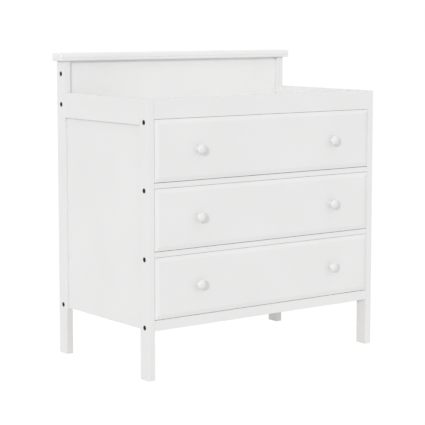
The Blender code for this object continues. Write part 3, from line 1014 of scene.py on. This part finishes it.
@dataclass
class ConnectorBolts(SubAssembly):
    """The black bolts through the posts, each with a hexagon socket."""

    def build(self) -> None:
        """Makes every bolt in its node's place."""
        for end, numbers in (("front", range(1, 5)), ("rear", range(1, 4))):
            for side in SIDES:
                for node in bolt_names(end, side, numbers):
                    block = Block.of(node)
                    outer = block.high[0] if block.side > 0 else block.low[0]
                    at = (outer, block.middle[1], block.middle[2])
                    bolt = self.stand_in(node, CONNECTOR_BOLT.rings(Run.ACROSS, at, block.side))
                    self.dress(bolt, BLACK_OXIDE, node)


@dataclass
class Channel(SubAssembly):
    """A rolled steel channel of the centre slides, open on one side, with rounded bends."""

    wall: float = 0.0012
    lip: float = 0.0035
    bend: float = 0.0012
    inner_bend: float = 0.0003
    end_ease: float = 0.00015

    def points(self, block: Block, opens: int) -> np.ndarray:
        """Gives a channel that fills a block.

        The outline, across the slide, has twelve corners: a web, two flanges and two lips turned inwards.

        Args:
            block: The box that it fills.
            opens: 1 where it opens upwards, or -1.

        Returns:
            The channel's rings.
        """
        half = (block.high[0] - block.low[0]) / 2
        depth = block.high[2] - block.low[2]
        web = block.low[2] if opens > 0 else block.high[2]
        wall, lip = self.wall, self.lip
        right = [(0, half), (depth, half), (depth, half - lip), (depth - wall, half - lip)]
        right += [(depth - wall, half - wall), (wall, half - wall)]
        outline = right + [(height, -across) for height, across in reversed(right)]
        corners = [(web + opens * height, across) for height, across in outline]
        outer, inner = self.bend, self.inner_bend
        radii = [outer, outer, inner, inner, inner, inner]
        ends = (block.low[1], block.high[1])
        return extruded(corners, radii + radii[::-1], Run.DEEP, ends, self.end_ease)


@dataclass
class FixedSlide(Channel):
    """The rail under a drawer: it is screwed down at its front end, and a socket holds its rear end."""

    drawer: str = "bottom"
    screw_margin: float = 0.020
    socket_wall: float = 0.004
    socket_depth: float = 0.022
    socket_round: float = 0.0015
    play: float = 0.0003

    def build(self) -> None:
        """Makes the rail with its screws, and the socket that holds its rear end."""
        node = f"{self.drawer}_slide_rail"
        block = Block.of(node)
        self.dress(self.stand_in(node, self.points(block, 1)), ZINC, node)
        floor = block.low[2] + self.wall + SLIDE_SCREW.rim
        first = block.low[1] + self.screw_margin / 2
        places = [(block.middle[0], y, floor) for y in (first, first + self.screw_margin)]
        screw = replace(SLIDE_SCREW, length=self.wall)
        rings = [screw.rings(Run.UPRIGHT, place, 1) for place in places]
        screws = solid(f"{self.drawer}_slide_screws", rings)
        self.dress(screws, ZINC, slot="slide_steel")
        self.add_socket(block)

    def add_socket(self, rail: Block) -> None:
        """Makes the moulded socket over the rail's rear end, with its two screws through the back panel.

        Args:
            rail: The rail's box.
        """
        back = Block.of("back_panel")
        wall = self.socket_wall
        low = (rail.low[0] - wall, rail.high[1] - self.socket_depth, rail.low[2])
        high = (rail.high[0] + wall, back.low[1] - self.play, rail.high[2] + wall)
        shell = board(Block(low, high), Run.DEEP, self.socket_round, self.play)
        socket = solid(f"{self.drawer}_slide_socket", shell)
        room = rail.grown(self.play)
        carve(socket, plain_block(room.spanned(Run.UPRIGHT, low=rail.low[2] - wall)))
        self.dress(socket, SOCKET_NYLON, slot="painted_panel")
        face = back.high[1] + PANEL_SCREW.rim
        places = [(x, face, rail.middle[2]) for x in (low[0] + wall / 2, high[0] - wall / 2)]
        rings = [PANEL_SCREW.rings(Run.DEEP, place, 1) for place in places]
        screws = solid(f"{self.drawer}_socket_screws", rings)
        self.dress(screws, ZINC, slot="slide_steel")


@dataclass
class Knob(SubAssembly):
    """A turned mushroom knob. Its sizes are radii, and heights above the face that it stands on."""

    foot: float = 0.0090
    foot_height: float = 0.0022
    base_ease: float = 0.0003
    bead: float = 0.0008
    stem: float = 0.0077
    neck: float = 0.0065
    waist: float = 0.0070
    lip: float = 0.0148
    brim: float = 0.0012
    dome: float = 0.0100
    base_steps: int = 2
    edge_steps: int = 5
    stem_steps: int = 8
    flare_steps: int = 10
    dome_steps: int = 18
    around: int = 64

    def build(self, node: str) -> None:
        """Turns the knob: a foot with a rounded rim, a waist, a flared underside, a lip and a dome.

        The waist and the flare are each a quarter of an ellipse that curves in, and the lip and the dome are
        quarters of ellipses that curve out.

        Args:
            node: The knob's node.
        """
        block = Block.of(node)
        long = block.high[1] - block.low[1]
        head = (block.high[0] - block.low[0]) / 2
        foot, neck, waist = self.foot, self.neck, self.waist
        brim, lip = self.brim, self.lip
        base, bead = self.base_ease, self.bead
        shoulder = long - self.dome
        profile = np.concatenate([
            [(0.0, 0.0)],
            arc((foot - base, base), (base, base), -1, 0, self.base_steps),
            arc((foot - bead, self.foot_height - bead), (bead, bead), 0, 1, self.edge_steps),
            arc((self.stem, waist), (neck - self.stem, self.foot_height - waist), 1, 0, self.stem_steps),
            arc((head - brim, waist), (neck - head + brim, lip - waist), 0, 1, self.flare_steps)[1:],
            arc((head - brim, lip + brim), (brim, brim), -1, 0, self.edge_steps),
            arc((0.0, shoulder), (head, long - shoulder), 0, 1, self.dome_steps),
        ])
        at = (block.middle[0], block.high[1], block.middle[2])
        # The knob's darker enamel is painted shade
        self.dress(self.stand_in(node, turned(profile, Run.DEEP, at, -1, self.around)), KNOB_ENAMEL_PAINTED_SHADE, node)


@dataclass
class Drawer(SubAssembly):
    """A drawer: a front with a raised field, a clear-sealed box, two knobs and the runner under it."""

    word: str = "bottom"
    border_width: float = 0.014
    edge_round: float = 0.0004
    field_round: float = 0.0160
    front_corner: float = 0.0010
    board_round: float = 0.0014
    board_ease: float = 0.0006
    groove_clearance: float = 0.0004
    panel_edge: float = 0.0003
    screw_inset: float = 0.022
    corner_steps: int = 4

    def node(self, piece: str) -> str:
        """Names one of the drawer's nodes."""
        return f"{self.word}_drawer_{piece}"

    def build(self) -> None:
        """Makes the whole drawer."""
        self.add_front()
        self.add_box()
        for side in SIDES:
            Knob(self.slots, self.body).build(self.node(f"{side}_knob"))
        runner = self.node("runner")
        channel = Channel(self.slots, self.body)
        self.dress(self.stand_in(runner, channel.points(Block.of(runner), -1)), ZINC, runner)
        self.add_screws()

    def base_pocket(self) -> np.ndarray:
        """Gives the cutter for the groove that holds the base panel."""
        return plain_block(Block.of(self.node("base")).grown(self.groove_clearance))

    def add_front(self) -> None:
        """Makes the front from one profile, drawn in from its edge all round.

        The profile goes from the back's eased edge along the side face to the border's edge, which is flush
        with the posts, and up the slope to the raised field. Each of its three corners is rounded. Two more
        corners inside the front only close the outline, and their points are left out.
        """
        node = self.node("front")
        block = Block.of(node)
        flush = Block.of("front_left_post").low[1]
        seen = [(0.0, block.high[1]), (0.0, flush), (self.border_width, block.low[1])]
        closing = [(2 * self.border_width, block.low[1]), (2 * self.border_width, block.high[1])]
        radii = [self.board_ease, self.edge_round, self.field_round, 0.0, 0.0]
        outline, _ = rounded_path(seen + closing, radii, self.corner_steps)
        profile = outline[: len(seen) * (self.corner_steps + 1)]
        points = stacked(block, Run.DEEP, profile[:, 1], profile[:, 0], self.front_corner)
        front = self.stand_in(node, points)
        carve(front, self.base_pocket())
        self.dress(front, FRONT_ENAMEL, node)

    def add_box(self) -> None:
        """Makes the box's two grooved sides, its back and its base panel."""
        for side in SIDES:
            node = self.node(f"{side}_side")
            wall = self.stand_in(node, board(Block.of(node), Run.DEEP, self.board_round, self.board_ease))
            carve(wall, self.base_pocket())
            self.dress(wall, PINE[Run.DEEP], node)
        back = self.node("back")
        wall = self.stand_in(back, board(Block.of(back), Run.ACROSS, self.board_round, self.board_ease))
        self.dress(wall, PINE[Run.ACROSS], back)
        base = self.node("base")
        panel = self.stand_in(base, board(Block.of(base), Run.UPRIGHT, self.panel_edge, self.panel_edge))
        self.dress(panel, PLY, base)

    def add_screws(self) -> None:
        """Makes the two knob screws behind the front, and the four screws through the sides into the back."""
        inside = Block.of(self.node("front")).high[1]
        knobs = [Block.of(self.node(f"{side}_knob")).middle for side in SIDES]
        places = [(x, inside + KNOB_SCREW.rim, z) for x, _, z in knobs]
        screws = solid(self.node("knob_screws"), [KNOB_SCREW.rings(Run.DEEP, place, 1) for place in places])
        self.dress(screws, ZINC, slot="slide_steel")
        back = Block.of(self.node("back"))
        rings = []
        for name, side in SIDES.items():
            wall = Block.of(self.node(f"{name}_side"))
            outer = wall.high[0] if side > 0 else wall.low[0]
            for z in (back.low[2] + self.screw_inset, back.high[2] - self.screw_inset):
                rings.append(BOX_SCREW.rings(Run.ACROSS, (outer, back.middle[1], z), side))
        self.dress(solid(self.node("box_screws"), rings), ZINC, slot="slide_steel")


@dataclass
class Studio:
    """The camera, the pale floor and the light: a soft sky, and a key from the left of the camera.

    The camera's place is taken from a corner of the case.
    """

    lens_mm: float = 126.2
    from_corner: tuple[float, float, float] = (-2.5129, -3.66655, 1.0947)
    yaw_deg: float = 36.915
    pitch_deg: float = 6.4
    shift_up: float = -0.06
    clip_end: float = 400.0
    sky_mean: float = 0.75
    sky_lean: tuple[float, float, float] = (0.06, -0.04, 0.22)
    key_strength: float = 1.08
    key_from: tuple[float, float, float] = (-0.755, -0.604, 0.254)
    key_angle_deg: float = 7.0
    floor_size: float = 120.0
    floor_tone: float = 0.45
    floor_drift: float = 0.004
    floor_drift_scale: float = 0.8
    floor_roughness: float = 0.9
    floor_share: float = 0.50
    floor_glow: float = 0.94
    floor_seen: float = 1.05

    def build(self) -> None:
        """Makes all of it."""
        self.add_camera()
        self.add_sky()
        self.add_key()
        self.add_floor()
        view = bpy.context.scene.view_settings
        view.view_transform = "Standard"
        view.look = "None"

    def add_camera(self) -> None:
        """Adds the camera at the viewing angle."""
        data = bpy.data.cameras.new("camera")
        data.lens = self.lens_mm
        data.shift_y = self.shift_up
        data.clip_end = self.clip_end
        camera = bpy.data.objects.new("camera", data)
        camera.location = np.array(Block.of("front_left_post").low) + self.from_corner
        camera.rotation_euler = (math.radians(90 - self.pitch_deg), 0.0, math.radians(-self.yaw_deg))
        bpy.context.scene.collection.objects.link(camera)
        bpy.context.scene.camera = camera

    def add_sky(self) -> None:
        """Adds a sky that is itself seen as white, and lights more from above.

        Its light is the mean plus the dot product of the direction and the lean.
        """
        world = bpy.data.worlds.new("studio")
        world.use_nodes = True
        tree = world.node_tree
        seen = tree.nodes.new("ShaderNodeLightPath").outputs["Is Camera Ray"]
        lean = tree.nodes.new("ShaderNodeVectorMath")
        lean.operation = "DOT_PRODUCT"
        lean.inputs[1].default_value = self.sky_lean
        tree.links.new(tree.nodes.new("ShaderNodeTexCoord").outputs["Generated"], lean.inputs[0])
        glow = tree.nodes.new("ShaderNodeMath")
        glow.inputs[1].default_value = self.sky_mean
        tree.links.new(lean.outputs["Value"], glow.inputs[0])
        strength = tree.nodes.new("ShaderNodeMix")
        tree.links.new(seen, strength.inputs["Factor"])
        tree.links.new(glow.outputs[0], strength.inputs["A"])
        strength.inputs["B"].default_value = 1.0
        background = tree.nodes["Background"]
        background.inputs["Color"].default_value = (1.0, 1.0, 1.0, 1.0)
        tree.links.new(strength.outputs["Result"], background.inputs["Strength"])
        bpy.context.scene.world = world

    def add_key(self) -> None:
        """Adds the key, a distant lamp."""
        data = bpy.data.lights.new("key", "SUN")
        data.energy = self.key_strength
        data.angle = math.radians(self.key_angle_deg)
        light = bpy.data.objects.new("key", data)
        light.rotation_mode = "QUATERNION"
        light.rotation_quaternion = Vector(self.key_from).to_track_quat("Z", "Y")
        bpy.context.scene.collection.objects.link(light)

    def add_floor(self) -> None:
        """Adds the floor: matt and pale, and seen almost as white, so that only a faint shadow shows."""
        half = self.floor_size / 2
        corners = [(-half, -half, 0), (half, -half, 0), (half, half, 0), (-half, half, 0)]
        mesh = bpy.data.meshes.new("floor")
        mesh.from_pydata(corners, [], [(0, 1, 2, 3)])
        floor = bpy.data.objects.new("floor", mesh)
        bpy.context.scene.collection.objects.link(floor)
        recipe = Recipe("floor_paint")
        drift = recipe.noise(recipe.place(), self.floor_drift_scale)
        tone = recipe.spread(drift, self.floor_tone - self.floor_drift, self.floor_tone + self.floor_drift)
        material = recipe.wear(Base_Color=tone, Roughness=self.floor_roughness, Specular_IOR_Level=0.0)
        seen = recipe.node("LightPath").outputs["Is Camera Ray"]
        share = recipe.node("MapRange", seen, 0.0, 1.0, self.floor_share, self.floor_glow).outputs[0]
        glow = recipe.node("Emission", (1.0, 1.0, 1.0, 1.0), self.floor_seen).outputs[0]
        surface = recipe.node("MixShader", share, recipe.shader.outputs[0], glow).outputs[0]
        recipe.tree.links.new(surface, recipe.tree.nodes["Material Output"].inputs["Surface"])
        mesh.materials.append(material)


def main() -> None:
    """Loads the frame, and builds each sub-assembly in turn."""
    logging.basicConfig(level=logging.INFO, format="%(name)s: %(message)s")
    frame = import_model()
    slots = {part["node"]: part["material_slot"] for part in frame["record"]["subparts"]}
    Studio().build()
    CaseFrame(slots).build()
    CrownCap(slots).build()
    TrayAndPanels(slots).build()
    ConnectorBolts(slots).build()
    for word in DRAWERS:
        FixedSlide(slots, drawer=word).build()
        Drawer(slots, f"{word}_drawer", word).build()


if __name__ == "__main__":
    main()
